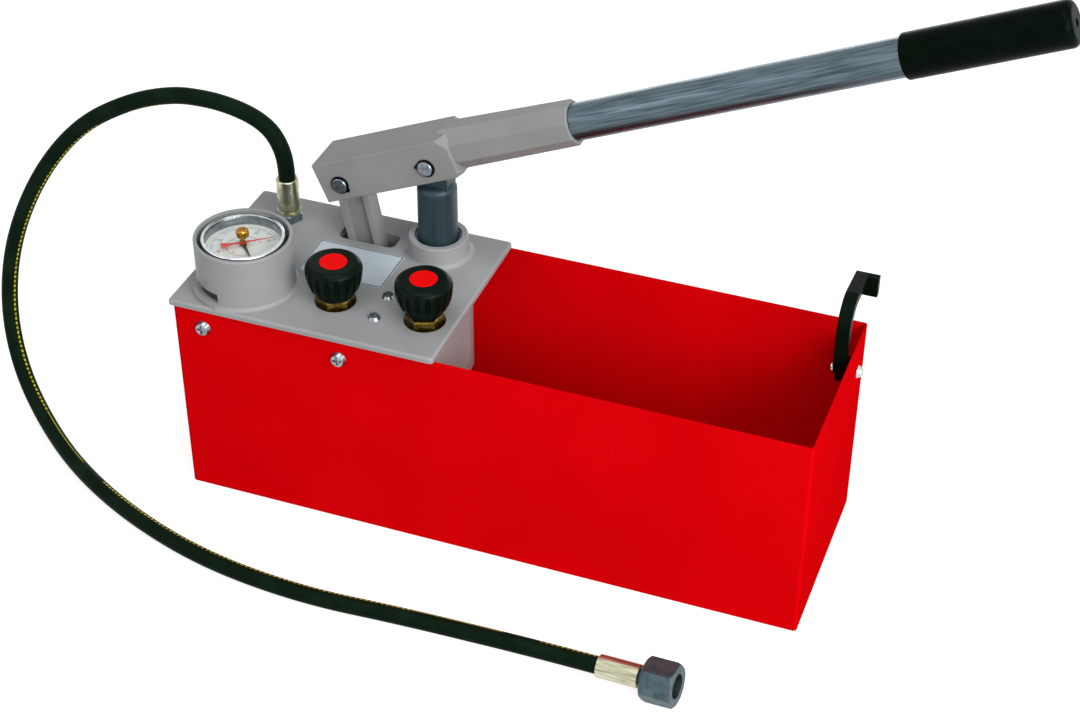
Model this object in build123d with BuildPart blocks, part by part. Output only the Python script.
from build123d import *
import os
from math import atan2, cos, degrees, pi, radians, sin, sqrt, tan

# Hydrostatic test pump: a sheet steel water tank, a cast cover with gauge, two valves and
# a hand lever on a toggle link, a vertical plunger pump, and a wire braid pressure hose.
# Millimetres. Origin at the centre of the tank's base, +X towards the open end of the
# tank, +Y to the back, +Z up. The lever stands as it does part way through a stroke.

# Tank
tank_length = 500.0
tank_width = 160.0
tank_height = 175.0
sheet = 1.5
tank_fold_radius = 2.8

# Cover casting
cover_length = 216.5
cover_thickness = 4.5
cover_overhang = 2.5
cover_edge_radius = 2.0
cover_corner_radius = 3.2
slot_length = 48.0
slot_width = 18.0
slot_corner = 5.0
slot_reach = 108.5
lug_length = 18.0
lug_width = 9.0
lug_height = 27.0
lug_gap = 0.2
lug_radius = 2.0

# Gauge cup on the cover
cup_reach = 46.5
cup_edge_gap = 3.9
cup_radius = 37.6
cup_wall = 2.6
cup_rim_radius = 0.9
cup_height = 43.4
cup_foot_radius = 3.0
window_height = 8.0
window_sill = 3.4
window_start = -139.0
window_end = -98.5
ledge_start = -153.0
ledge_width = 4.2
ledge_height = 2.6

# Plunger, its collar on the cover, and the packing
plunger_reach = 167.5
lever_back_gap = 30.5
plunger_radius = 15.5
plunger_length = 126.5
shoulder_drop = 23.5
crown_radius = 5.6
running_gap = 0.05
seat_gap = 0.02
part_gap = 0.3
collar_radius = 23.2
collar_height = 16.4
collar_bore_radius = 18.5
collar_draft = 1.6
collar_foot_radius = 4.0
collar_rim_radius = 0.8
gland_height = 19.0
gland_recess = 1.2
gland_lip = 0.9

# Lever linkage: pins A in the link's top, B in the plunger, C in the link's foot
pin_b_rise = 88.0
pin_spacing = 78.1
lever_angle = 23.15
pin_radius = 6.0
pin_proud = 2.6
ring_radius = 7.4
ring_width = 0.9
ring_inset = 1.0
ring_lug_radius = 1.7
ring_lug_reach = 7.3
foot_reach = 112.5
foot_drop = 25.0
foot_pin_radius = 5.0
foot_clearance = 5.6

# Lever head casting
head_width = 41.0
head_bottom = 13.2
head_top = 19.9
head_left = 17.6
head_right = 24.6
head_edge_radius = 1.2
head_cut_along = 8.4
head_cut_rise = 8.6
head_cut_across = 15.5
head_low_cut_share = 0.5
fork_gap = 18.0
fork_roof = 6.3
fork_end = 17.8
socket_axis_rise = 4.0
socket_length = 123.0
socket_root_flats = 34.7
socket_root_drop = 1.2
socket_end_flats = 31.8
socket_root_start = 14.0
socket_lip = 0.6
socket_bore_start = 56.0
socket_corner_share = 0.2929

# Lever tube and grip
tube_radius = 14.0
tube_wall = 2.0
tube_start = 58.0
tube_end = 486.0
grip_length = 116.5
grip_overhang = 6.5
grip_radius = 16.2
grip_hole_radius = 3.0
grip_end_radius = 5.0

# Toggle link
link_width = 26.0
link_depth = 15.0
link_rib = 4.4
link_web = 6.0
link_eye_radius = 12.6
link_foot_radius = 11.0

# Pump body below the cover
barrel_radius = 26.0
barrel_length = 103.0
barrel_floor = 9.0
barrel_bore_gap = 0.6
bush_radius = 19.5
bush_height = 26.0
seal_height = 7.0
block_reach = 102.5
block_length = 111.0
block_front_share = 0.425
block_depth = 56.0
block_radius = 9.0
bridge_width = 38.0
bridge_drop = 47.0
bridge_height = 34.0
bridge_gap = 16.5
arm_width = 22.0
arm_depth = 24.0
cheek_thickness = 8.0
cheek_gap = 18.6
cheek_length = 46.0
cheek_height = 39.0

# Check valves, suction pipe and strainer
valve_fitting_flats = 24.0
valve_fitting_height = 17.0
valve_thread_radius = 8.0
valve_thread_length = 8.0
suction_ball_radius = 5.0
suction_seat_radius = 3.6
pipe_radius = 5.0
pipe_wall = 1.0
strainer_radius = 14.0
strainer_height = 13.0
strainer_floor_gap = 3.0
strainer_hole_radius = 1.5
strainer_hole_count = 12
plug_flats = 14.0
plug_head = 6.0
delivery_bore_radius = 6.0
delivery_ball_radius = 4.5
spring_wire = 0.9
spring_turns = 5
spring_radius = 3.6

# Valve knobs, bonnets and spindles
left_valve_reach = 119.5
right_valve_reach = 192.5
valve_row_share = 0.241875
well_radius = 16.0
thread_pitch = 1.5
open_turns = 1.5
bonnet_flats = 26.0
bonnet_hex_height = 11.0
bonnet_neck_radius = 9.0
bonnet_neck_height = 0.5
bonnet_thread_radius = 10.0
bonnet_thread_length = 18.0
bonnet_chamfer = 1.2
left_bonnet_turn = 30.0
right_bonnet_turn = 21.0
spindle_radius = 4.0
spindle_length = 54.0
needle_length = 7.0
needle_tip_radius = 1.0
needle_gap = 0.5
seat_bore_radius = 2.2
knob_bottom_height = 7.2
knob_neck_radius = 14.6
knob_neck_height = 5.6
knob_hollow_radius = 10.4
knob_hollow_depth = 4.4
knob_height = 28.0
knob_radius = 21.8
knob_foot_radius = 18.2
knob_top_radius = 17.2
knob_shoulder_drop = 6.0
knob_bulge = 0.9
knob_flutes = 18
flute_radius = 1.8
flute_bite = 1.3
cap_radius = 10.5
cap_thickness = 2.4
cap_rise = 0.5
knob_socket_depth = 19.0

# Gauge
gauge_radius = 32.0
gauge_case_radius = 30.6
gauge_case_wall = 1.0
gauge_case_rise = 9.5
gauge_rise = 42.9
bezel_height = 10.5
bezel_lip = 1.2
bezel_opening_radius = 29.4
glass_thickness = 2.0
dial_drop = 9.6
dial_thickness = 0.8
pointer_gap = 1.4
pointer_thickness = 0.6
pointer_length = 20.0
pointer_tail = 6.0
pointer_hub_radius = 2.6
pointer_width = 1.6
pointer_angle = -48.0
pointer_axle_radius = 0.8
drag_gap = 1.3
drag_length = 25.0
drag_width = 1.0
drag_tail = 17.0
drag_flag = 9.0
drag_flag_width = 7.0
drag_angle = 38.0
reset_shaft_radius = 1.3
reset_knob_radius = 4.8
reset_knob_height = 6.5
reset_flutes = 16
movement_radius = 15.0
movement_height = 10.0
stem_flats = 14.0
stem_radius = 6.0

# Rating plate and small fasteners
plate_length = 71.0
plate_thickness = 0.5
plate_corner = 1.5
plate_reach = 110.5
plate_slot_gap = 8.5
plate_well_gap = 9.7
side_screw_left_reach = 26.9
side_screw_right_reach = 139.4
side_screw_drop = 17.0
side_head_radius = 6.4
side_head_height = 3.2
side_shank_radius = 2.4
side_shank_length = 11.0
cover_screw_reaches = (154.9, 156.0)
cover_screw_offsets = (18.2, -10.5)
cover_head_radius = 5.0
cover_head_height = 2.2
cover_shank_radius = 2.0
cover_shank_length = 16.0
recess_depth_share = 0.5
recess_width_share = 0.3
recess_length_share = 1.15

# Catch for the folded lever, on a bolt through the end wall
bolt_offset = 9.2
bolt_drop = 30.5
bolt_radius = 2.5
bolt_head_radius = 5.0
bolt_head_height = 3.6
bolt_reach = 20.4
catch_reach = 15.5
catch_width = 10.0
catch_foot_radius = 10.0
catch_outer_radius = 23.0
catch_thickness = 7.5
catch_lower_rise = 21.4
catch_upper_rise = 46.5
catch_centre_offset = 1.2
catch_lip_start = 29.0
catch_lip_thickness = 6.0
catch_lip_top = 66.0
catch_lip_bottom = 49.5
catch_lip_width = 18.5
catch_edge_radius = 0.8
nut_flats = 8.0
nut_height = 4.0
spacer_radius = 6.5

# Pressure hose and its fittings
hose_radius = 6.7
port_nut_flats = 19.0
port_pad_height = 1.2
port_pad_radius = 13.5
ferrule_radius = 8.8
ferrule_length = 30.5
ferrule_collar_radius = 9.6
ferrule_collar_height = 2.2
port_thread_radius = 6.5
port_thread_length = 14.0
end_ferrule_length = 33.0
neck_radius = 5.6
neck_length = 4.0
nut_back_wall = 5.0
union_flats = 30.0
union_length = 24.0
union_bevel = 1.9
union_thread_radius = 9.3
union_thread_length = 12.0
nipple_head_radius = 8.6
nipple_head_length = 5.0
nipple_bore_radius = 2.6
washer_thickness = 1.8

hose_bend_share = 0.45

overrun = 1.0

# Route of the hose for a tank of the first width and a start at the first height: straight
# up out of its ferrule, over in an arch, down to the floor on the left, and along the
# front to the union nut. Its first numbers are distances from the cover's left edge.
route_tank_width = 160.0
route_start_height = 218.0
hose_start_rise = 38.5
hose_route_pattern = [
    (39.0, 50.5, 218.0),
    (39.0, 50.5, 230.5),
    (36.3, 50.5, 244.2),
    (30.1, 50.5, 256.7),
    (20.7, 50.3, 267.0),
    (8.7, 50.0, 274.2),
    (-6.5, 49.6, 279.0),
    (-25.5, 48.8, 281.5),
    (-53.5, 47.0, 280.0),
    (-91.5, 41.5, 268.0),
    (-133.5, 30.5, 240.0),
    (-168.5, 16.0, 194.0),
    (-191.5, 0.0, 136.0),
    (-194.5, -17.0, 80.0),
    (-175.5, -40.0, 37.0),
    (-135.5, -71.0, 11.5),
    (-81.5, -110.0, 6.8),
    (-13.5, -145.0, 6.8),
    (60.5, -167.0, 6.8),
    (142.5, -171.0, 6.8),
    (214.5, -160.0, 6.8),
    (280.5, -165.0, 6.8),
    (336.5, -171.0, 8.0),
    (380.5, -175.0, 12.0),
]

# Places worked out from the sizes above
cover_left = -tank_length / 2 - cover_overhang
cover_x = cover_left + cover_length / 2
cover_width = tank_width + 2 * cover_overhang
cover_top = tank_height + cover_thickness
inner_half_width = tank_width / 2 - sheet
collar_top = cover_top + collar_height
slot_x = cover_left + slot_reach
cup_x = cover_left + cup_reach
cup_y = cup_radius + cup_edge_gap - cover_width / 2
plunger_x = cover_left + plunger_reach
lever_y = tank_width / 2 - lever_back_gap
pin_b_height = cover_top + pin_b_rise
foot_x = cover_left + foot_reach
foot_height = tank_height - foot_drop
barrel_bottom = tank_height - barrel_length
left_valve_x = cover_left + left_valve_reach
right_valve_x = cover_left + right_valve_reach
valve_y = -valve_row_share * tank_width
block_left = cover_left + block_reach
block_right = block_left + block_length
block_front = -block_front_share * tank_width
block_back = lever_y - barrel_radius - bridge_gap
block_bottom = tank_height - block_depth
bridge_bottom = tank_height - bridge_drop
bridge_top = bridge_bottom + bridge_height
cheek_bottom = tank_height - cheek_height
gauge_case_bottom = cover_top + gauge_case_rise
gauge_top = cover_top + gauge_rise
plate_x = cover_left + plate_reach
plate_back = lever_y - slot_width / 2 - plate_slot_gap
plate_front = valve_y + well_radius + plate_well_gap
plate_width = plate_back - plate_front
plate_y = (plate_back + plate_front) / 2
side_screw_left_x = cover_left + side_screw_left_reach
side_screw_right_x = cover_left + side_screw_right_reach
side_screw_height = tank_height - side_screw_drop
cover_screw_places = [(cover_left + reach, valve_y + offset) for reach, offset in zip(cover_screw_reaches, cover_screw_offsets)]
bolt_y = lever_y + bolt_offset
bolt_height = tank_height - bolt_drop
bolt_inner_x = tank_length / 2 - bolt_reach
catch_start_x = tank_length / 2 - catch_reach
route_across = tank_width / route_tank_width
route_rise = (cover_top + hose_start_rise - hose_radius) / (route_start_height - hose_radius)
hose_route = [(cover_left + x, y * route_across, hose_radius + (z - hose_radius) * route_rise) for x, y, z in hose_route_pattern]
plunger_shoulder = pin_b_height - shoulder_drop
plunger_bottom = plunger_shoulder - plunger_length
bush_top = tank_height - seal_height
glass_top = gauge_top - bezel_lip
glass_bottom = glass_top - glass_thickness
dial_top = gauge_top - dial_drop
pointer_bottom = dial_top + pointer_gap
drag_bottom = pointer_bottom + pointer_thickness + drag_gap
knob_floor = cover_top + knob_bottom_height
needle_tip_height = knob_floor + knob_socket_depth - spindle_length
needle_slope = needle_length / (spindle_radius - needle_tip_radius)
seat_height = needle_tip_height + (seat_bore_radius - needle_tip_radius) * needle_slope - needle_gap
port_x = hose_route[0][0]
port_y = hose_route[0][1]
ferrule_bottom = hose_route[0][2] - ferrule_length
port_nut_bottom = cover_top + port_pad_height
port_nut_height = ferrule_bottom - port_nut_bottom
lever_cos = cos(radians(lever_angle))
lever_sin = sin(radians(lever_angle))
pin_a = (plunger_x - pin_spacing * lever_cos, pin_b_height - pin_spacing * lever_sin)
link_run = (foot_x - pin_a[0], pin_a[1] - foot_height)
link_length = sqrt(link_run[0] ** 2 + link_run[1] ** 2)
link_angle = degrees(atan2(link_run[0], link_run[1]))
wall_outer_x = tank_length / 2
wall_inner_x = wall_outer_x - sheet
catch_end_x = catch_start_x + catch_width
left_wall = -head_left - pin_spacing

# Side plane of the lever: x along the lever from pin B, y square to it, upwards
lever_plane = Plane(
    origin=(plunger_x, lever_y, pin_b_height),
    x_dir=(lever_cos, 0, lever_sin),
    z_dir=(0, -1, 0),
)
socket_axis_origin = lever_plane.from_local_coords(Vector(0, socket_axis_rise, 0))
lever_direction = Vector(lever_cos, 0, lever_sin)
lever_up = Vector(-lever_sin, 0, lever_cos)


def along_lever(distance):
    """Plane square to the lever's tube, at a distance from pin B: x to the front, y up."""
    return Plane(
        origin=socket_axis_origin + lever_direction * distance,
        x_dir=(0, -1, 0),
        z_dir=lever_direction,
    )


def corner_cut(height, upwards, frontwards, share):
    """Plane that cuts a corner off the head's socket end; its upper side is what goes."""
    away = (
        lever_direction / (share * head_cut_along)
        + lever_up * (upwards / (share * head_cut_rise))
        + Vector(0, -frontwards / (share * head_cut_across), 0)
    )
    corner = Vector(plunger_x, lever_y - frontwards * head_width / 2, pin_b_height) + lever_up * height
    return Plane(origin=corner + lever_direction * (head_right - share * head_cut_along), z_dir=away)


# Side plane of the link: x across it, y from its foot pin up to pin A
link_plane = Plane(
    origin=(foot_x, lever_y, foot_height),
    x_dir=(cos(radians(link_angle)), 0, sin(radians(link_angle))),
    z_dir=(0, -1, 0),
)
side_plane = Plane(origin=(0, lever_y, 0), x_dir=(1, 0, 0), z_dir=(0, -1, 0))

os.makedirs("parts", exist_ok=True)


def circle_edges(part, radius, height):
    """Round edges of a part with a given radius, lying flat at a given height."""
    near = 0.01 * radius
    edges = part.edges().filter_by(GeomType.CIRCLE)
    return edges.filter_by(lambda e: abs(e.radius - radius) < near and abs(e.center().Z - height) < near)


# Tank: folded sheet with a rounded rim at its four corners
with BuildPart() as tank:
    with BuildSketch():
        Rectangle(tank_length, tank_width)
        fillet(vertices(), tank_fold_radius)
    extrude(amount=tank_height)
    fillet(faces().sort_by(Axis.Z)[0].edges(), tank_fold_radius - sheet)
    with BuildSketch(Plane.XY.offset(sheet)):
        Rectangle(tank_length - 2 * sheet, tank_width - 2 * sheet)
        fillet(vertices(), tank_fold_radius - sheet)
    extrude(amount=tank_height, mode=Mode.SUBTRACT)
    with BuildSketch(Plane.XZ) as screw_pattern:
        with Locations((side_screw_left_x, side_screw_height), (side_screw_right_x, side_screw_height)):
            Circle(side_shank_radius + part_gap)
    extrude(amount=tank_width, both=True, mode=Mode.SUBTRACT)
    with BuildSketch(Plane.YZ.offset(wall_inner_x - overrun)):
        with Locations((bolt_y, bolt_height)):
            Circle(bolt_radius + part_gap)
    extrude(amount=sheet + 2 * overrun, mode=Mode.SUBTRACT)
tank.part.label = "tank"
export_step(tank.part, "parts/tank.step")

# Cover casting: plate, gauge cup with its drain window, plunger collar, hose pad, lugs
with BuildPart() as cover:
    with BuildSketch(Plane.XY.offset(tank_height)):
        with Locations((cover_x, 0)):
            RectangleRounded(cover_length, cover_width, cover_corner_radius)
    extrude(amount=cover_thickness)
    fillet(faces().sort_by(Axis.Z)[-1].edges(), cover_edge_radius)
    with BuildSketch(Plane.XY.offset(cover_top)):
        with Locations((cup_x, cup_y)):
            Circle(cup_radius)
    extrude(amount=cup_height)
    fillet(circle_edges(cover, cup_radius, cover_top), cup_foot_radius)
    with BuildSketch(Plane.XY.offset(cover_top)):
        with Locations((plunger_x, lever_y)):
            Circle(collar_radius + collar_draft)
    extrude(amount=collar_height, taper=degrees(atan2(collar_draft, collar_height)))
    fillet(circle_edges(cover, collar_radius + collar_draft, cover_top), collar_foot_radius)
    fillet(circle_edges(cover, collar_radius, collar_top), collar_rim_radius)
    with BuildSketch(Plane.XY.offset(cover_top)):
        with Locations((port_x, port_y)):
            Circle(port_pad_radius)
    extrude(amount=port_pad_height)
    fillet(circle_edges(cover, cup_radius, cover_top + cup_height), cup_rim_radius)
    with BuildSketch(Plane.XY.offset(cover_top)):
        with Locations((cup_x, cup_y)):
            Circle(cup_radius - cup_wall)
    extrude(amount=cup_height, mode=Mode.SUBTRACT)
    # Ledge below the window, then the window itself
    window_span = window_end - window_start
    ledge_span = window_end - ledge_start
    with BuildSketch(Plane.XY.offset(cover_top)) as ledge_sketch:
        with BuildLine():
            outer = CenterArc((cup_x, cup_y), cup_radius + ledge_width, ledge_start, ledge_span)
            inner = CenterArc((cup_x, cup_y), cup_radius - cup_wall / 2, ledge_start, ledge_span)
            Line(outer @ 0, inner @ 0)
            Line(outer @ 1, inner @ 1)
        make_face()
    extrude(amount=ledge_height)
    with BuildSketch(Plane.XY.offset(cover_top + window_sill)) as window_sketch:
        with BuildLine():
            outer = CenterArc((cup_x, cup_y), cup_radius + ledge_width, window_start, window_span)
            inner = CenterArc((cup_x, cup_y), cup_radius - cup_wall * 2, window_start, window_span)
            Line(outer @ 0, inner @ 0)
            Line(outer @ 1, inner @ 1)
        make_face()
    extrude(amount=window_height, mode=Mode.SUBTRACT)
    # Lugs inside the tank walls that take the side screws
    with BuildSketch(Plane.XY.offset(tank_height)):
        for lug_x in (side_screw_left_x, side_screw_right_x):
            for side in (-1, 1):
                with Locations((lug_x, side * (inner_half_width - lug_gap - lug_width / 2))):
                    RectangleRounded(lug_length, lug_width, lug_radius)
    extrude(amount=-lug_height)
    # Holes: link slot, valve wells, plunger, hose port, gauge stem, screws
    with BuildSketch(Plane.XY.offset(tank_height - lug_height)):
        with Locations((slot_x, lever_y)):
            RectangleRounded(slot_length, slot_width, slot_corner)
        with Locations((left_valve_x, valve_y), (right_valve_x, valve_y)):
            Circle(well_radius)
        with Locations((plunger_x, lever_y)):
            Circle(collar_bore_radius)
        with Locations((port_x, port_y)):
            Circle(port_thread_radius + part_gap)
        with Locations((cup_x, cup_y)):
            Circle(stem_radius + part_gap)
        with Locations(*cover_screw_places):
            Circle(cover_shank_radius + part_gap)
    extrude(amount=lug_height + cover_thickness + collar_height + overrun, mode=Mode.SUBTRACT)
    for side in (-1, 1):
        with BuildSketch(Plane.XZ.offset(-side * (inner_half_width + overrun))):
            with Locations((side_screw_left_x, side_screw_height), (side_screw_right_x, side_screw_height)):
                Circle(side_shank_radius + seat_gap)
        extrude(amount=side * (side_shank_length + overrun), mode=Mode.SUBTRACT)
cover.part.label = "cover"
export_step(cover.part, "parts/cover.step")

# Rating plate, left blank
with BuildPart() as rating_plate:
    with BuildSketch(Plane.XY.offset(cover_top)):
        with Locations((plate_x, plate_y)):
            RectangleRounded(plate_length, plate_width, plate_corner)
    extrude(amount=plate_thickness)
rating_plate.part.label = "rating_plate"
export_step(rating_plate.part, "parts/rating_plate.step")

# Pump body: barrel, valve block, the bridge between them and the arm to gauge and hose
with BuildPart() as pump_body:
    with BuildSketch(Plane.XY.offset(block_bottom)):
        with Locations(((block_left + block_right) / 2, (block_front + block_back) / 2)):
            RectangleRounded(block_right - block_left, block_back - block_front, block_radius)
    extrude(amount=tank_height - block_bottom)
    fillet(faces().sort_by(Axis.Z)[0].edges(), block_radius / 2)
    with BuildSketch(Plane.XY.offset(barrel_bottom)):
        with Locations((plunger_x, lever_y)):
            Circle(barrel_radius)
    extrude(amount=tank_height - barrel_bottom)
    with BuildSketch(Plane.XY.offset(bridge_bottom)):
        with Locations((plunger_x, (block_back + lever_y) / 2)):
            Rectangle(bridge_width, lever_y - block_back)
    extrude(amount=bridge_top - bridge_bottom)
    with BuildSketch(Plane.XY.offset(tank_height - arm_depth)):
        with Locations(((cup_x + block_left) / 2, cup_y)):
            Rectangle(block_left - cup_x + arm_width, arm_width)
        with Locations((port_x, (cup_y + port_y) / 2)):
            Rectangle(arm_width, port_y - cup_y + arm_width)
    extrude(amount=arm_depth)
    fillet(edges().filter_by(Axis.Z).group_by(Axis.X)[0], lug_radius)
    # Barrel bore, packing seat, suction thread
    with BuildSketch(Plane.XY.offset(barrel_bottom + barrel_floor)):
        with Locations((plunger_x, lever_y)):
            Circle(plunger_radius + barrel_bore_gap)
    extrude(amount=tank_height, mode=Mode.SUBTRACT)
    with BuildSketch(Plane.XY.offset(bush_top - bush_height)):
        with Locations((plunger_x, lever_y)):
            Circle(bush_radius + seat_gap)
    extrude(amount=tank_height, mode=Mode.SUBTRACT)
    with BuildSketch(Plane.XY.offset(barrel_bottom - overrun)):
        with Locations((plunger_x, lever_y)):
            Circle(valve_thread_radius + seat_gap)
    extrude(amount=barrel_floor + 2 * overrun, mode=Mode.SUBTRACT)
    # Valve seats, their threads, gauge and hose threads
    with BuildSketch(Plane.XY.offset(tank_height)):
        with Locations((left_valve_x, valve_y), (right_valve_x, valve_y)):
            Circle(bonnet_thread_radius + seat_gap)
        with Locations((port_x, port_y)):
            Circle(port_thread_radius + seat_gap)
        with Locations((cup_x, cup_y)):
            Circle(stem_radius + seat_gap)
        with Locations(*cover_screw_places):
            Circle(cover_shank_radius + seat_gap)
    extrude(amount=-bonnet_thread_length, mode=Mode.SUBTRACT)
    with BuildSketch(Plane.XY.offset(seat_height)):
        with Locations((left_valve_x, valve_y), (right_valve_x, valve_y)):
            Circle(spindle_radius + part_gap)
    extrude(amount=tank_height - block_bottom, mode=Mode.SUBTRACT)
    with BuildSketch(Plane.XY.offset(block_bottom + block_radius)):
        with Locations((left_valve_x, valve_y), (right_valve_x, valve_y)):
            Circle(seat_bore_radius)
    extrude(amount=tank_height - block_bottom, mode=Mode.SUBTRACT)
    # Delivery valve bore in the bridge, open below
    delivery_y = (block_back + lever_y - barrel_radius) / 2
    with BuildSketch(Plane.XY.offset(bridge_bottom - overrun)):
        with Locations((plunger_x, delivery_y)):
            Circle(delivery_bore_radius + seat_gap)
    extrude(amount=bridge_top - bridge_bottom - block_radius, mode=Mode.SUBTRACT)
pump_body.part.label = "pump_body"
export_step(pump_body.part, "parts/pump_body.step")

# Bracket below the slot: two cheeks with wide holes in which the link's foot pin floats
with BuildPart() as link_bracket:
    for side in (-1, 1):
        with BuildSketch(side_plane.offset(side * (cheek_gap + cheek_thickness) / 2)):
            with Locations((slot_x, (tank_height + cheek_bottom) / 2)):
                Rectangle(cheek_length, tank_height - cheek_bottom)
            fillet(vertices().group_by(Axis.Z)[0], block_radius)
        extrude(amount=cheek_thickness / 2, both=True)
    with BuildSketch(Plane.XY.offset(tank_height)):
        with Locations((slot_x - cheek_thickness / 2, lever_y)):
            Rectangle(cheek_length + cheek_thickness, cheek_gap + 2 * cheek_thickness)
        with Locations((slot_x, lever_y)):
            Rectangle(cheek_length, cheek_gap, mode=Mode.SUBTRACT)
    extrude(amount=-cheek_thickness)
    with BuildSketch(side_plane):
        with Locations((foot_x, foot_height)):
            Circle(foot_pin_radius + foot_clearance)
    extrude(amount=cheek_gap, both=True, mode=Mode.SUBTRACT)
link_bracket.part.label = "link_bracket"
export_step(link_bracket.part, "parts/link_bracket.step")

# Packing stack round the plunger: bush and seal in the barrel, gland ring in the collar
with BuildPart() as guide_bush:
    with BuildSketch(Plane.XY.offset(bush_top - bush_height)):
        with Locations((plunger_x, lever_y)):
            Circle(bush_radius)
            Circle(plunger_radius + running_gap, mode=Mode.SUBTRACT)
    extrude(amount=bush_height)
guide_bush.part.label = "guide_bush"
export_step(guide_bush.part, "parts/guide_bush.step")

with BuildPart() as plunger_seal:
    with BuildSketch(Plane.XY.offset(bush_top)):
        with Locations((plunger_x, lever_y)):
            Circle(bush_radius)
            Circle(plunger_radius + running_gap, mode=Mode.SUBTRACT)
    extrude(amount=seal_height)
plunger_seal.part.label = "plunger_seal"
export_step(plunger_seal.part, "parts/plunger_seal.step")

with BuildPart() as gland_ring:
    with BuildSketch(Plane.XY.offset(tank_height)):
        with Locations((plunger_x, lever_y)):
            Circle(collar_bore_radius - seat_gap)
            Circle(plunger_radius + running_gap, mode=Mode.SUBTRACT)
    extrude(amount=collar_height + cover_thickness - gland_recess)
    gland_top = circle_edges(gland_ring, plunger_radius + running_gap, collar_top - gland_recess)
    chamfer(gland_top, gland_lip)
gland_ring.part.label = "gland_ring"
export_step(gland_ring.part, "parts/gland_ring.step")

# Plunger: ground rod with a rounded crown and a flat tongue for pin B
with BuildPart() as plunger:
    with BuildSketch(Plane.XY.offset(plunger_bottom)):
        with Locations((plunger_x, lever_y)):
            Circle(plunger_radius)
    extrude(amount=plunger_length)
    chamfer(circle_edges(plunger, plunger_radius, plunger_bottom), crown_radius / 2)
    fillet(circle_edges(plunger, plunger_radius, plunger_shoulder), crown_radius)
    tongue_radius = 2 * pin_radius - running_gap * 2
    with BuildSketch(side_plane) as tongue:
        with Locations((plunger_x, pin_b_height)):
            Circle(tongue_radius)
        with Locations((plunger_x, (pin_b_height + plunger_shoulder - crown_radius) / 2)):
            Rectangle(2 * tongue_radius, shoulder_drop + crown_radius)
    extrude(amount=fork_gap / 2 - part_gap, both=True)
    with BuildSketch(side_plane):
        with Locations((plunger_x, pin_b_height)):
            Circle(pin_radius + running_gap)
    extrude(amount=plunger_radius + overrun, both=True, mode=Mode.SUBTRACT)
plunger.part.label = "plunger"
export_step(plunger.part, "parts/plunger.step")

# Lever head: an upside-down channel over link and plunger, bevelled into an eight-sided
# socket for the tube
with BuildPart() as lever_head:
    with BuildSketch(lever_plane):
        with BuildLine():
            Polyline(
                (left_wall, -head_bottom),
                (head_right, -head_bottom),
                (head_right, head_top),
                (left_wall, head_top),
                close=True,
            )
        make_face()
    extrude(amount=head_width / 2, both=True)
    # Its four corners next to the socket are cut off aslant, the lower two by less
    for corner_height, upwards, cut_share in ((head_top, 1, 1), (-head_bottom, -1, head_low_cut_share)):
        for frontwards in (-1, 1):
            split(bisect_by=corner_cut(corner_height, upwards, frontwards, cut_share), keep=Keep.BOTTOM)
    fillet(edges().filter_by(lambda e: abs(abs(e.center().Y - lever_y) - head_width / 2) < head_edge_radius), head_edge_radius)
    with BuildSketch(along_lever(socket_root_start)):
        root_cut = socket_corner_share * socket_root_flats
        with Locations((0, -socket_root_drop)):
            Rectangle(socket_root_flats, socket_root_flats)
        chamfer(vertices(), root_cut)
    with BuildSketch(along_lever(socket_length)):
        end_cut = socket_corner_share * socket_end_flats
        Rectangle(socket_end_flats, socket_end_flats)
        chamfer(vertices(), end_cut)
    loft()
    chamfer(faces().sort_by(lambda f: -f.center().X)[0].edges(), socket_lip)
    with BuildSketch(along_lever(socket_bore_start)):
        Circle(tube_radius + seat_gap)
    extrude(amount=socket_length, mode=Mode.SUBTRACT)
    with BuildSketch(lever_plane):
        fork_bottom = socket_root_flats
        fork_low_left = (left_wall - overrun, -fork_bottom)
        fork_high_right = (fork_end, head_top - fork_roof)
        with Locations(
            ((fork_low_left[0] + fork_high_right[0]) / 2, (fork_low_left[1] + fork_high_right[1]) / 2)
        ):
            Rectangle(fork_high_right[0] - fork_low_left[0], fork_high_right[1] - fork_low_left[1])
    extrude(amount=fork_gap / 2, both=True, mode=Mode.SUBTRACT)
    with BuildSketch(lever_plane):
        with Locations((0, 0), (-pin_spacing, 0)):
            Circle(pin_radius + seat_gap)
    extrude(amount=head_width, both=True, mode=Mode.SUBTRACT)
lever_head.part.label = "lever_head"
export_step(lever_head.part, "parts/lever_head.step")

# Lever tube and grip
with BuildPart() as lever_tube:
    with BuildSketch(along_lever(tube_start)):
        Circle(tube_radius)
        Circle(tube_radius - tube_wall, mode=Mode.SUBTRACT)
    extrude(amount=tube_end - tube_start)
lever_tube.part.label = "lever_tube"
export_step(lever_tube.part, "parts/lever_tube.step")

grip_end = tube_end + grip_overhang
grip_start = grip_end - grip_length
with BuildPart() as lever_grip:
    with BuildSketch(along_lever(grip_start)):
        Circle(grip_radius)
    extrude(amount=grip_end - grip_start)
    grip_end_face = faces().sort_by(lambda f: -f.center().X)[0]
    fillet(grip_end_face.edges(), grip_end_radius)
    grip_start_face = faces().filter_by(GeomType.PLANE).sort_by(lambda f: f.center().X)[0]
    fillet(grip_start_face.edges(), grip_radius - tube_radius - tube_wall / 2)
    with BuildSketch(along_lever(grip_start - overrun)):
        Circle(tube_radius + seat_gap)
    extrude(amount=tube_end - grip_start + overrun, mode=Mode.SUBTRACT)
    with BuildSketch(along_lever(tube_end)):
        Circle(grip_hole_radius)
    extrude(amount=grip_end, mode=Mode.SUBTRACT)
lever_grip.part.label = "lever_grip"
export_step(lever_grip.part, "parts/lever_grip.step")

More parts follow.
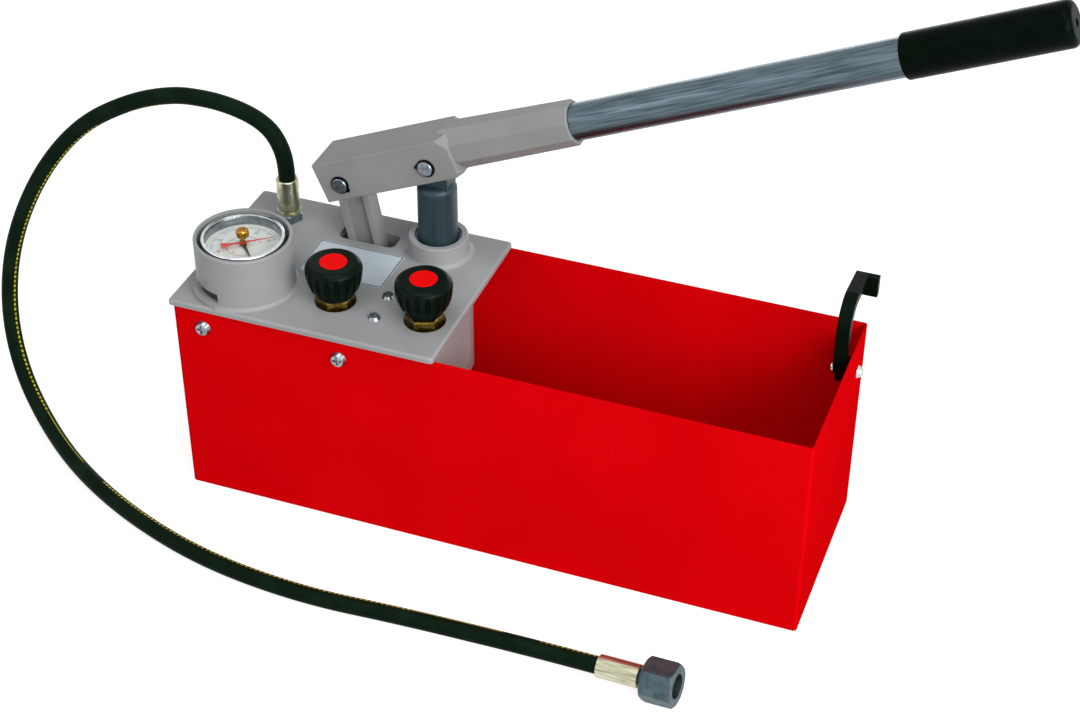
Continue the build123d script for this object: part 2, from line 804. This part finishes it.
# Toggle link: two ribs along its sides, a thin web between them, an eye at each end
with BuildPart() as link:
    with BuildSketch(link_plane):
        with Locations((0, link_length / 2)):
            Rectangle(link_width, link_length)
    extrude(amount=link_depth / 2, both=True)
    for side in (-1, 1):
        with BuildSketch(link_plane.offset(side * (link_depth + link_web) / 4)):
            with Locations((0, link_length / 2)):
                Rectangle(link_width - 2 * link_rib, link_length - link_eye_radius - link_foot_radius)
        extrude(amount=(link_depth - link_web) / 4, both=True, mode=Mode.SUBTRACT)
    with BuildSketch(link_plane):
        with Locations((0, link_length)):
            Circle(link_eye_radius)
        with Locations((0, 0)):
            Circle(link_width / 2)
    extrude(amount=link_depth / 2, both=True)
    with BuildSketch(link_plane):
        with Locations((0, link_length)):
            Rectangle(link_width, 2 * link_eye_radius)
            Circle(link_eye_radius, mode=Mode.SUBTRACT)
        with Locations((0, link_length - link_eye_radius / 2)):
            Rectangle(link_width, link_eye_radius, mode=Mode.SUBTRACT)
    extrude(amount=link_depth, both=True, mode=Mode.SUBTRACT)
    with BuildSketch(link_plane):
        with Locations((0, link_length)):
            Circle(pin_radius + running_gap)
        with Locations((0, 0)):
            Circle(foot_pin_radius + seat_gap)
    extrude(amount=link_depth, both=True, mode=Mode.SUBTRACT)
link.part.label = "link"
export_step(link.part, "parts/link.step")

# Pins A and B through the head, each with two retaining rings, and pin C in the link's foot
head_pins = {"link_pin": (-pin_spacing, -50), "plunger_pin": (0, 160)}
for pin_name, (pin_place, lug_angle) in head_pins.items():
    with BuildPart() as head_pin:
        with BuildSketch(lever_plane):
            with Locations((pin_place, 0)):
                Circle(pin_radius)
        extrude(amount=head_width / 2 + pin_proud, both=True)
        chamfer(edges().filter_by(GeomType.CIRCLE), ring_inset / 2)
    head_pin.part.label = pin_name
    export_step(head_pin.part, f"parts/{pin_name}.step")
    with BuildPart() as pin_rings:
        for side in (-1, 1):
            with BuildSketch(lever_plane.offset(side * (head_width + ring_width) / 2)):
                with Locations((pin_place, 0)):
                    Circle(ring_radius)
                lug_x = pin_place + ring_lug_reach * cos(radians(lug_angle))
                with Locations((lug_x, ring_lug_reach * sin(radians(lug_angle)))):
                    Circle(ring_lug_radius)
                with Locations((pin_place, 0)):
                    Circle(pin_radius + seat_gap, mode=Mode.SUBTRACT)
            extrude(amount=ring_width / 2, both=True)
    pin_rings.part.label = f"{pin_name}_rings"
    export_step(pin_rings.part, f"parts/{pin_name}_rings.step")

with BuildPart() as foot_pin:
    with BuildSketch(link_plane):
        Circle(foot_pin_radius)
    extrude(amount=cheek_gap / 2 + cheek_thickness + pin_proud, both=True)
    chamfer(edges().filter_by(GeomType.CIRCLE), ring_inset / 2)
foot_pin.part.label = "foot_pin"
export_step(foot_pin.part, "parts/foot_pin.step")

# Valves: brass bonnet in its well, needle spindle, fluted knob and coloured cap. The left
# valve is closed, the right one is open and stands higher by its turns of thread.
for side, valve_x, lift, bonnet_turn in (
    ("left", left_valve_x, 0, left_bonnet_turn),
    ("right", right_valve_x, open_turns * thread_pitch, right_bonnet_turn),
):
    knob_bottom = knob_floor + lift
    knob_top = knob_bottom + knob_height
    bonnet_top = tank_height + bonnet_hex_height
    with BuildPart() as bonnet:
        with BuildSketch(Plane.XY.offset(tank_height)):
            with Locations((valve_x, valve_y)):
                RegularPolygon(bonnet_flats / 2, 6, major_radius=False, rotation=bonnet_turn)
        extrude(amount=bonnet_hex_height)
        chamfer(faces().sort_by(Axis.Z)[-1].edges(), bonnet_chamfer)
        with BuildSketch(Plane.XY.offset(bonnet_top)):
            with Locations((valve_x, valve_y)):
                Circle(bonnet_neck_radius)
        extrude(amount=bonnet_neck_height)
        with BuildSketch(Plane.XY.offset(tank_height)):
            with Locations((valve_x, valve_y)):
                Circle(bonnet_thread_radius)
        extrude(amount=-bonnet_thread_length)
        with BuildSketch(Plane.XY.offset(bonnet_top + bonnet_neck_height)):
            with Locations((valve_x, valve_y)):
                Circle(spindle_radius + running_gap)
        extrude(amount=-tank_height, mode=Mode.SUBTRACT)
    bonnet.part.label = f"{side}_bonnet"
    export_step(bonnet.part, f"parts/{side}_bonnet.step")

    spindle_top = knob_bottom + knob_socket_depth
    with BuildPart() as spindle:
        with BuildSketch(Plane.XY.offset(spindle_top)):
            with Locations((valve_x, valve_y)):
                Circle(spindle_radius)
        extrude(amount=needle_length - spindle_length)
        needle_taper = degrees(atan2(spindle_radius - needle_tip_radius, needle_length))
        with BuildSketch(Plane.XY.offset(spindle_top - spindle_length + needle_length)):
            with Locations((valve_x, valve_y)):
                Circle(spindle_radius)
        extrude(amount=-needle_length, taper=needle_taper)
    spindle.part.label = f"{side}_spindle"
    export_step(spindle.part, f"parts/{side}_spindle.step")

    with BuildPart() as knob:
        with BuildSketch(Plane.XZ.offset(-valve_y)):
            with BuildLine():
                shoulder = (valve_x + knob_radius, knob_top - knob_shoulder_drop)
                rim = (valve_x + knob_top_radius, knob_top)
                skirt = knob_bottom + knob_neck_height
                foot = (valve_x + knob_foot_radius, skirt)
                Polyline(
                    rim,
                    (valve_x, knob_top),
                    (valve_x, knob_bottom + knob_hollow_depth),
                    (valve_x + knob_hollow_radius, knob_bottom + knob_hollow_depth),
                    (valve_x + knob_hollow_radius, knob_bottom),
                    (valve_x + knob_neck_radius, knob_bottom),
                    (valve_x + knob_neck_radius, skirt),
                    foot,
                )
                SagittaArc(foot, shoulder, -knob_bulge)
                RadiusArc(shoulder, rim, -knob_shoulder_drop)
            make_face()
        revolve(axis=Axis((valve_x, valve_y, 0), (0, 0, 1)))
        side_height = knob_height - knob_neck_height - knob_shoulder_drop
        flute_lean = atan2(knob_radius - knob_foot_radius, side_height)
        flute_place = knob_foot_radius + flute_radius - flute_bite
        for flute in range(knob_flutes):
            turn = 2 * pi * flute / knob_flutes
            outward = Vector(cos(turn), sin(turn), 0)
            flute_plane = Plane(
                origin=Vector(valve_x, valve_y, skirt) + outward * flute_place,
                x_dir=(-sin(turn), cos(turn), 0),
                z_dir=outward * sin(flute_lean) + Vector(0, 0, cos(flute_lean)),
            )
            with BuildSketch(flute_plane):
                Circle(flute_radius)
            extrude(amount=knob_height, both=True, mode=Mode.SUBTRACT)
        with BuildSketch(Plane.XY.offset(knob_top - cap_thickness)):
            with Locations((valve_x, valve_y)):
                Circle(cap_radius + seat_gap)
        extrude(amount=cap_thickness + overrun, mode=Mode.SUBTRACT)
        with BuildSketch(Plane.XY.offset(knob_bottom - overrun)):
            with Locations((valve_x, valve_y)):
                Circle(spindle_radius + running_gap)
        extrude(amount=knob_socket_depth + overrun, mode=Mode.SUBTRACT)
    knob.part.label = f"{side}_knob"
    export_step(knob.part, f"parts/{side}_knob.step")

    with BuildPart() as knob_cap:
        with BuildSketch(Plane.XY.offset(knob_top - cap_thickness)):
            with Locations((valve_x, valve_y)):
                Circle(cap_radius)
        extrude(amount=cap_thickness + cap_rise)
        fillet(faces().sort_by(Axis.Z)[-1].edges(), cap_rise)
    knob_cap.part.label = f"{side}_knob_cap"
    export_step(knob_cap.part, f"parts/{side}_knob_cap.step")

# Gauge: stem, movement, open case, dial, two pointers, glass, bezel, reset knob
gauge_bottom = gauge_case_bottom
with BuildPart() as gauge_stem:
    with BuildSketch(Plane.XY.offset(cover_top)):
        with Locations((cup_x, cup_y)):
            RegularPolygon(stem_flats / 2, 6, major_radius=False)
    extrude(amount=gauge_bottom - cover_top)
    with BuildSketch(Plane.XY.offset(cover_top)):
        with Locations((cup_x, cup_y)):
            Circle(stem_radius)
    extrude(amount=-bonnet_thread_length)
gauge_stem.part.label = "gauge_stem"
export_step(gauge_stem.part, "parts/gauge_stem.step")

with BuildPart() as gauge_case:
    with BuildSketch(Plane.XY.offset(gauge_bottom)):
        with Locations((cup_x, cup_y)):
            Circle(gauge_case_radius)
    extrude(amount=glass_bottom - gauge_bottom)
    fillet(faces().sort_by(Axis.Z)[0].edges(), gauge_case_wall)
    with BuildSketch(Plane.XY.offset(gauge_bottom + gauge_case_wall)):
        with Locations((cup_x, cup_y)):
            Circle(gauge_case_radius - gauge_case_wall)
    extrude(amount=gauge_top, mode=Mode.SUBTRACT)
gauge_case.part.label = "gauge_case"
export_step(gauge_case.part, "parts/gauge_case.step")

with BuildPart() as gauge_movement:
    with BuildSketch(Plane.XY.offset(gauge_bottom + gauge_case_wall)):
        with Locations((cup_x, cup_y)):
            Circle(movement_radius)
    extrude(amount=dial_top - dial_thickness - gauge_bottom - gauge_case_wall)
    with BuildSketch(Plane.XY.offset(dial_top - movement_height)):
        with Locations((cup_x, cup_y)):
            Circle(pointer_axle_radius + running_gap)
    extrude(amount=movement_height, mode=Mode.SUBTRACT)
gauge_movement.part.label = "gauge_movement"
export_step(gauge_movement.part, "parts/gauge_movement.step")

with BuildPart() as gauge_dial:
    with BuildSketch(Plane.XY.offset(dial_top)):
        with Locations((cup_x, cup_y)):
            Circle(gauge_case_radius - gauge_case_wall - seat_gap)
            Circle(pointer_axle_radius + part_gap, mode=Mode.SUBTRACT)
    extrude(amount=-dial_thickness)
gauge_dial.part.label = "gauge_dial"
export_step(gauge_dial.part, "parts/gauge_dial.step")

with BuildPart() as gauge_pointer:
    with BuildSketch(Plane.XY.offset(pointer_bottom)):
        with Locations(Location((cup_x, cup_y, 0), (0, 0, pointer_angle))):
            Circle(pointer_hub_radius)
            Polygon(
                (-pointer_tail, -pointer_width),
                (pointer_length, -pointer_width / 4),
                (pointer_length, pointer_width / 4),
                (-pointer_tail, pointer_width),
                align=None,
            )
    extrude(amount=pointer_thickness)
    with BuildSketch(Plane.XY.offset(pointer_bottom)):
        with Locations((cup_x, cup_y)):
            Circle(pointer_axle_radius)
    extrude(amount=dial_top - movement_height + overrun - pointer_bottom)
gauge_pointer.part.label = "gauge_pointer"
export_step(gauge_pointer.part, "parts/gauge_pointer.step")

with BuildPart() as drag_pointer:
    with BuildSketch(Plane.XY.offset(drag_bottom)):
        with Locations(Location((cup_x, cup_y, 0), (0, 0, drag_angle))):
            Circle(pointer_hub_radius)
            Polygon(
                (-drag_tail, -drag_flag_width / 2),
                (drag_flag - drag_tail, -drag_width),
                (drag_length, 0),
                (drag_flag - drag_tail, drag_width),
                (-drag_tail, drag_flag_width / 2),
                align=None,
            )
    extrude(amount=pointer_thickness)
drag_pointer.part.label = "drag_pointer"
export_step(drag_pointer.part, "parts/drag_pointer.step")

with BuildPart() as reset_knob:
    with BuildSketch(Plane.XY.offset(drag_bottom + pointer_thickness)):
        with Locations((cup_x, cup_y)):
            Circle(reset_shaft_radius)
    extrude(amount=glass_top + part_gap - drag_bottom - pointer_thickness)
    with BuildSketch(Plane.XY.offset(glass_top + part_gap)):
        with Locations((cup_x, cup_y)):
            Circle(reset_knob_radius)
            with PolarLocations(reset_knob_radius, reset_flutes):
                Circle(pointer_axle_radius / 2, mode=Mode.SUBTRACT)
    extrude(amount=reset_knob_height)
reset_knob.part.label = "reset_knob"
export_step(reset_knob.part, "parts/reset_knob.step")

with BuildPart() as gauge_glass:
    with BuildSketch(Plane.XY.offset(glass_bottom)):
        with Locations((cup_x, cup_y)):
            Circle(gauge_case_radius)
            Circle(reset_shaft_radius + running_gap, mode=Mode.SUBTRACT)
    extrude(amount=glass_thickness)
gauge_glass.part.label = "gauge_glass"
export_step(gauge_glass.part, "parts/gauge_glass.step")

with BuildPart() as gauge_bezel:
    with BuildSketch(Plane.XY.offset(gauge_top - bezel_height)):
        with Locations((cup_x, cup_y)):
            Circle(gauge_radius)
    extrude(amount=bezel_height)
    fillet(faces().sort_by(Axis.Z)[-1].edges(), bezel_lip)
    with BuildSketch(Plane.XY.offset(gauge_top - bezel_height)):
        with Locations((cup_x, cup_y)):
            Circle(gauge_case_radius + seat_gap)
    extrude(amount=bezel_height - bezel_lip, mode=Mode.SUBTRACT)
    with BuildSketch(Plane.XY.offset(gauge_top - bezel_height)):
        with Locations((cup_x, cup_y)):
            Circle(bezel_opening_radius)
    extrude(amount=bezel_height + overrun, mode=Mode.SUBTRACT)
gauge_bezel.part.label = "gauge_bezel"
export_step(gauge_bezel.part, "parts/gauge_bezel.step")


def cross_recess(head_plane, head_radius, head_height, places):
    """Cut a cross recess into each screw head from its outer face."""
    for cross_angle in (0, 90):
        with BuildSketch(head_plane.offset(head_height * (1 - recess_depth_share))) as slot:
            with Locations(*places):
                Rectangle(head_radius * recess_length_share, head_radius * recess_width_share, rotation=cross_angle)
        extrude(slot.sketch, amount=head_height, mode=Mode.SUBTRACT)


# Side screws, two at the front and two at the back
side_screw_places = ((side_screw_left_x, side_screw_height), (side_screw_right_x, side_screw_height))
with BuildPart() as side_screws:
    for side in (-1, 1):
        wall_plane = Plane(origin=(0, side * tank_width / 2, 0), x_dir=(1, 0, 0), z_dir=(0, side, 0))
        places = [(x, -side * z) for x, z in side_screw_places]
        with BuildSketch(wall_plane):
            with Locations(*places):
                Circle(side_head_radius)
        extrude(amount=side_head_height, taper=degrees(atan2(1, 2)))
        with BuildSketch(wall_plane):
            with Locations(*places):
                Circle(side_shank_radius)
        extrude(amount=-side_shank_length)
        cross_recess(wall_plane, side_head_radius, side_head_height, places)
side_screws.part.label = "side_screws"
export_step(side_screws.part, "parts/side_screws.step")

# Two small screws that hold the pump body to the cover
with BuildPart() as cover_screws:
    with BuildSketch(Plane.XY.offset(cover_top)):
        with Locations(*cover_screw_places):
            Circle(cover_head_radius)
    extrude(amount=cover_head_height, taper=degrees(atan2(1, 2)))
    with BuildSketch(Plane.XY.offset(cover_top)):
        with Locations(*cover_screw_places):
            Circle(cover_shank_radius)
    extrude(amount=-cover_shank_length)
    cross_recess(Plane.XY.offset(cover_top), cover_head_radius, cover_head_height, cover_screw_places)
cover_screws.part.label = "cover_screws"
export_step(cover_screws.part, "parts/cover_screws.step")

# Catch: a hook whose inside takes the folded lever's tube, with a wide finger lip
catch_plane = Plane(origin=(catch_start_x, bolt_y, bolt_height), x_dir=(0, 1, 0), z_dir=(1, 0, 0))
catch_inner_radius = catch_outer_radius - catch_thickness
catch_mid_radius = (catch_outer_radius + catch_inner_radius) / 2
lip_end = catch_lip_start + catch_lip_thickness
with BuildPart() as catch:
    with BuildSketch(catch_plane):
        Circle(catch_foot_radius)
        with BuildLine(mode=Mode.PRIVATE) as hook:
            lower = CenterArc((catch_centre_offset, catch_lower_rise), catch_outer_radius, 180, 90)
            side_line = Line(
                (catch_centre_offset - catch_outer_radius, catch_upper_rise),
                (catch_centre_offset - catch_outer_radius, catch_lower_rise),
            )
            upper = CenterArc((catch_centre_offset, catch_upper_rise), catch_outer_radius, 90, 90)
            Polyline(
                (catch_centre_offset, catch_upper_rise + catch_outer_radius),
                (lip_end, catch_lip_top),
                (lip_end, catch_lip_bottom),
                (catch_lip_start, catch_lip_bottom),
                (catch_lip_start, catch_lip_top - catch_lip_thickness),
                (catch_centre_offset, catch_upper_rise + catch_inner_radius),
            )
            CenterArc((catch_centre_offset, catch_upper_rise), catch_inner_radius, 90, 90)
            Line(
                (catch_centre_offset - catch_inner_radius, catch_upper_rise),
                (catch_centre_offset - catch_inner_radius, catch_lower_rise),
            )
            CenterArc((catch_centre_offset, catch_lower_rise), catch_inner_radius, 180, 90)
            Line(
                (catch_centre_offset, catch_lower_rise - catch_inner_radius),
                (catch_centre_offset, catch_lower_rise - catch_outer_radius),
            )
        make_face(hook.edges())
    extrude(amount=catch_width)
    with BuildSketch(catch_plane):
        with Locations(((catch_lip_start + lip_end) / 2, (catch_lip_top + catch_lip_bottom) / 2)):
            Rectangle(catch_lip_thickness, catch_lip_top - catch_lip_bottom)
    extrude(amount=catch_lip_width)
    with BuildSketch(catch_plane):
        Circle(bolt_radius + running_gap)
    extrude(amount=catch_width, mode=Mode.SUBTRACT)
catch.part.label = "catch"
export_step(catch.part, "parts/catch.step")

bolt_plane = Plane(origin=(0, bolt_y, bolt_height), x_dir=(0, 1, 0), z_dir=(1, 0, 0))
with BuildPart() as catch_bolt:
    with BuildSketch(bolt_plane.offset(wall_outer_x)):
        Circle(bolt_head_radius)
    extrude(amount=bolt_head_height, taper=degrees(atan2(1, 2)))
    with BuildSketch(bolt_plane.offset(wall_outer_x)):
        Circle(bolt_radius)
    extrude(amount=bolt_inner_x - wall_outer_x)
    cross_recess(bolt_plane.offset(wall_outer_x), bolt_head_radius, bolt_head_height, [(0, 0)])
catch_bolt.part.label = "catch_bolt"
export_step(catch_bolt.part, "parts/catch_bolt.step")

with BuildPart() as catch_nut:
    with BuildSketch(bolt_plane.offset(catch_start_x - part_gap / 2)):
        RegularPolygon(nut_flats / 2, 6, major_radius=False)
        Circle(bolt_radius + seat_gap, mode=Mode.SUBTRACT)
    extrude(amount=-nut_height)
catch_nut.part.label = "catch_nut"
export_step(catch_nut.part, "parts/catch_nut.step")

with BuildPart() as catch_spacer:
    with BuildSketch(bolt_plane.offset(wall_inner_x)):
        Circle(spacer_radius)
        Circle(bolt_radius + seat_gap, mode=Mode.SUBTRACT)
    extrude(amount=catch_end_x + part_gap / 2 - wall_inner_x)
catch_spacer.part.label = "catch_spacer"
export_step(catch_spacer.part, "parts/catch_spacer.step")

# Suction side: fitting with its ball, pipe and strainer
with BuildPart() as suction_fitting:
    with BuildSketch(Plane.XY.offset(barrel_bottom)):
        with Locations((plunger_x, lever_y)):
            RegularPolygon(valve_fitting_flats / 2, 6, major_radius=False)
    extrude(amount=-valve_fitting_height)
    with BuildSketch(Plane.XY.offset(barrel_bottom)):
        with Locations((plunger_x, lever_y)):
            Circle(valve_thread_radius)
    extrude(amount=valve_thread_length)
    with BuildSketch(Plane.XY.offset(barrel_bottom + valve_thread_length)):
        with Locations((plunger_x, lever_y)):
            Circle(suction_ball_radius + part_gap)
    extrude(amount=-2 * suction_ball_radius - sheet, mode=Mode.SUBTRACT)
    with BuildSketch(Plane.XY.offset(barrel_bottom - valve_fitting_height)):
        with Locations((plunger_x, lever_y)):
            Circle(suction_seat_radius)
    extrude(amount=valve_fitting_height, mode=Mode.SUBTRACT)
    with BuildSketch(Plane.XY.offset(barrel_bottom - valve_fitting_height)):
        with Locations((plunger_x, lever_y)):
            Circle(pipe_radius + seat_gap)
    extrude(amount=valve_fitting_height / 2, mode=Mode.SUBTRACT)
suction_fitting.part.label = "suction_fitting"
export_step(suction_fitting.part, "parts/suction_fitting.step")

suction_ball_seat = barrel_bottom + valve_thread_length - 2 * suction_ball_radius - sheet
suction_ball_rise = sqrt(suction_ball_radius**2 - suction_seat_radius**2)
with BuildPart() as suction_ball:
    with Locations((plunger_x, lever_y, suction_ball_seat + suction_ball_rise)):
        Sphere(suction_ball_radius)
suction_ball.part.label = "suction_ball"
export_step(suction_ball.part, "parts/suction_ball.step")

pipe_bottom = sheet + strainer_floor_gap + strainer_height / 2
with BuildPart() as suction_pipe:
    with BuildSketch(Plane.XY.offset(pipe_bottom)):
        with Locations((plunger_x, lever_y)):
            Circle(pipe_radius)
            Circle(pipe_radius - pipe_wall, mode=Mode.SUBTRACT)
    extrude(amount=barrel_bottom - valve_fitting_height / 2 - pipe_bottom)
suction_pipe.part.label = "suction_pipe"
export_step(suction_pipe.part, "parts/suction_pipe.step")

with BuildPart() as strainer:
    with BuildSketch(Plane.XY.offset(sheet + strainer_floor_gap)):
        with Locations((plunger_x, lever_y)):
            Circle(strainer_radius)
    extrude(amount=strainer_height)
    with BuildSketch(Plane.XY.offset(sheet + strainer_floor_gap)):
        with Locations((plunger_x, lever_y)):
            Circle(strainer_radius - sheet)
    extrude(amount=strainer_height - sheet, mode=Mode.SUBTRACT)
    with BuildSketch(Plane.XY.offset(sheet + strainer_floor_gap)):
        with Locations((plunger_x, lever_y)):
            Circle(pipe_radius + seat_gap)
    extrude(amount=strainer_height + overrun, mode=Mode.SUBTRACT)
    for hole in range(strainer_hole_count // 2):
        hole_angle = 2 * pi * hole / strainer_hole_count
        hole_plane = Plane(
            origin=(plunger_x, lever_y, sheet + strainer_floor_gap + strainer_height / 2),
            x_dir=(-sin(hole_angle), cos(hole_angle), 0),
            z_dir=(cos(hole_angle), sin(hole_angle), 0),
        )
        with BuildSketch(hole_plane):
            Circle(strainer_hole_radius)
        extrude(amount=strainer_radius + overrun, both=True, mode=Mode.SUBTRACT)
strainer.part.label = "strainer"
export_step(strainer.part, "parts/strainer.step")

# Delivery side: plug, spring and ball, upwards in the bridge
plug_top = bridge_bottom + plug_head
with BuildPart() as delivery_plug:
    with BuildSketch(Plane.XY.offset(bridge_bottom)):
        with Locations((plunger_x, delivery_y)):
            RegularPolygon(plug_flats / 2, 6, major_radius=False, rotation=30)
    extrude(amount=-plug_head)
    with BuildSketch(Plane.XY.offset(bridge_bottom)):
        with Locations((plunger_x, delivery_y)):
            Circle(delivery_bore_radius)
    extrude(amount=plug_head)
delivery_plug.part.label = "delivery_plug"
export_step(delivery_plug.part, "parts/delivery_plug.step")

delivery_roof = bridge_top - block_radius - overrun
ball_centre = delivery_roof - delivery_ball_radius
spring_height = ball_centre - delivery_ball_radius - plug_top - spring_wire
spring_pitch = (spring_height - spring_wire) / spring_turns
with BuildPart() as delivery_spring:
    with BuildLine(Plane((plunger_x, delivery_y, plug_top + spring_wire))) as coil:
        Helix(spring_pitch, spring_height - spring_wire, spring_radius)
    with BuildSketch(Plane(coil.line @ 0, z_dir=coil.line % 0)):
        Circle(spring_wire / 2)
    sweep()
delivery_spring.part.label = "delivery_spring"
export_step(delivery_spring.part, "parts/delivery_spring.step")

with BuildPart() as delivery_ball:
    with Locations((plunger_x, delivery_y, ball_centre)):
        Sphere(delivery_ball_radius)
delivery_ball.part.label = "delivery_ball"
export_step(delivery_ball.part, "parts/delivery_ball.step")

# Hose port: nut in the pump's arm and the ferrule crimped on the hose
with BuildPart() as port_nut:
    with BuildSketch(Plane.XY.offset(port_nut_bottom)):
        with Locations((port_x, port_y)):
            RegularPolygon(port_nut_flats / 2, 6, major_radius=False)
    extrude(amount=port_nut_height)
    chamfer(faces().sort_by(Axis.Z)[-1].edges(), bonnet_chamfer)
    with BuildSketch(Plane.XY.offset(port_nut_bottom)):
        with Locations((port_x, port_y)):
            Circle(port_thread_radius)
    extrude(amount=-port_thread_length)
port_nut.part.label = "port_nut"
export_step(port_nut.part, "parts/port_nut.step")

with BuildPart() as port_ferrule:
    with BuildSketch(Plane.XY.offset(ferrule_bottom)):
        with Locations((port_x, port_y)):
            Circle(ferrule_radius)
    extrude(amount=ferrule_length)
    with BuildSketch(Plane.XY.offset(ferrule_bottom)):
        with Locations((port_x, port_y)):
            Circle(ferrule_collar_radius)
    extrude(amount=ferrule_collar_height)
    fillet(circle_edges(port_ferrule, ferrule_radius, hose_route[0][2]), ferrule_radius - hose_radius - overrun)
port_ferrule.part.label = "port_ferrule"
export_step(port_ferrule.part, "parts/port_ferrule.step")

# Hose: a tube along its route
hose_points = [Vector(*point) for point in hose_route]
hose_runs = [b - a for a, b in zip(hose_points, hose_points[1:])]
hose_radii = []
for run, next_run in zip(hose_runs, hose_runs[1:]):
    half_turn = radians(run.get_angle(next_run)) / 2
    hose_radii.append(hose_bend_share * min(run.length, next_run.length) / tan(half_turn))
print("hose bend radii", [round(radius) for radius in hose_radii])
with BuildPart() as hose:
    with BuildLine() as hose_path:
        FilletPolyline(*hose_points, radius=hose_radii)
    with BuildSketch(Plane(hose_path.line @ 0, z_dir=hose_path.line % 0)):
        Circle(hose_radius)
    sweep()
hose_length = hose_path.wires()[0].length
print("hose length", round(hose_length), "volume share", hose.part.volume / (pi * hose_radius**2 * hose_length))
hose.part.label = "hose"
export_step(hose.part, "parts/hose.step")

# Free end of the hose: ferrule, nipple, sealing washer and the union nut
end_direction = hose_runs[-1].normalized()


def along_end(distance):
    """Plane square to the hose's free end, at a distance from the hose."""
    return Plane(origin=hose_points[-1] + end_direction * distance, x_dir=(0, 0, 1), z_dir=end_direction)


nut_start = end_ferrule_length + neck_length
nipple_start = nut_start + nut_back_wall + part_gap / 2
with BuildPart() as end_ferrule:
    with BuildSketch(along_end(0)):
        Circle(ferrule_radius)
    extrude(amount=end_ferrule_length)
    chamfer(edges().filter_by(GeomType.CIRCLE), ferrule_collar_height / 4)
end_ferrule.part.label = "end_ferrule"
export_step(end_ferrule.part, "parts/end_ferrule.step")

with BuildPart() as end_nipple:
    with BuildSketch(along_end(end_ferrule_length)):
        Circle(neck_radius)
    extrude(amount=nipple_start - end_ferrule_length)
    with BuildSketch(along_end(nipple_start)):
        Circle(nipple_head_radius)
    extrude(amount=nipple_head_length)
    with BuildSketch(along_end(end_ferrule_length)):
        Circle(nipple_bore_radius)
    extrude(amount=union_length, mode=Mode.SUBTRACT)
end_nipple.part.label = "end_nipple"
export_step(end_nipple.part, "parts/end_nipple.step")

# Union nut: a hexagon turned from a bar whose ends are bevelled all round
nut_upright = Plane(
    origin=hose_points[-1] + end_direction * nut_start,
    x_dir=Vector(0, 0, 1).cross(end_direction),
    z_dir=end_direction,
)
with BuildPart() as union_bar:
    with BuildSketch(nut_upright):
        Circle(union_flats / sqrt(3))
    extrude(amount=union_length)
    chamfer(edges().filter_by(GeomType.CIRCLE), union_bevel)

with BuildPart() as union_nut:
    with BuildSketch(nut_upright):
        RegularPolygon(union_flats / 2, 6, major_radius=False)
    extrude(amount=union_length)
    add(union_bar.part, mode=Mode.INTERSECT)
    with BuildSketch(nut_upright.offset(-overrun)):
        Circle(neck_radius + running_gap)
    extrude(amount=union_length, mode=Mode.SUBTRACT)
    with BuildSketch(nut_upright.offset(nut_back_wall)):
        Circle(nipple_head_radius + part_gap)
    extrude(amount=union_length, mode=Mode.SUBTRACT)
    with BuildSketch(nut_upright.offset(union_length - union_thread_length)):
        Circle(union_thread_radius)
    extrude(amount=union_length, mode=Mode.SUBTRACT)
union_nut.part.label = "union_nut"
export_step(union_nut.part, "parts/union_nut.step")

with BuildPart() as end_washer:
    with BuildSketch(along_end(nipple_start + nipple_head_length)):
        Circle(nipple_head_radius)
        Circle(neck_radius - overrun, mode=Mode.SUBTRACT)
    extrude(amount=washer_thickness)
end_washer.part.label = "end_washer"
export_step(end_washer.part, "parts/end_washer.step")
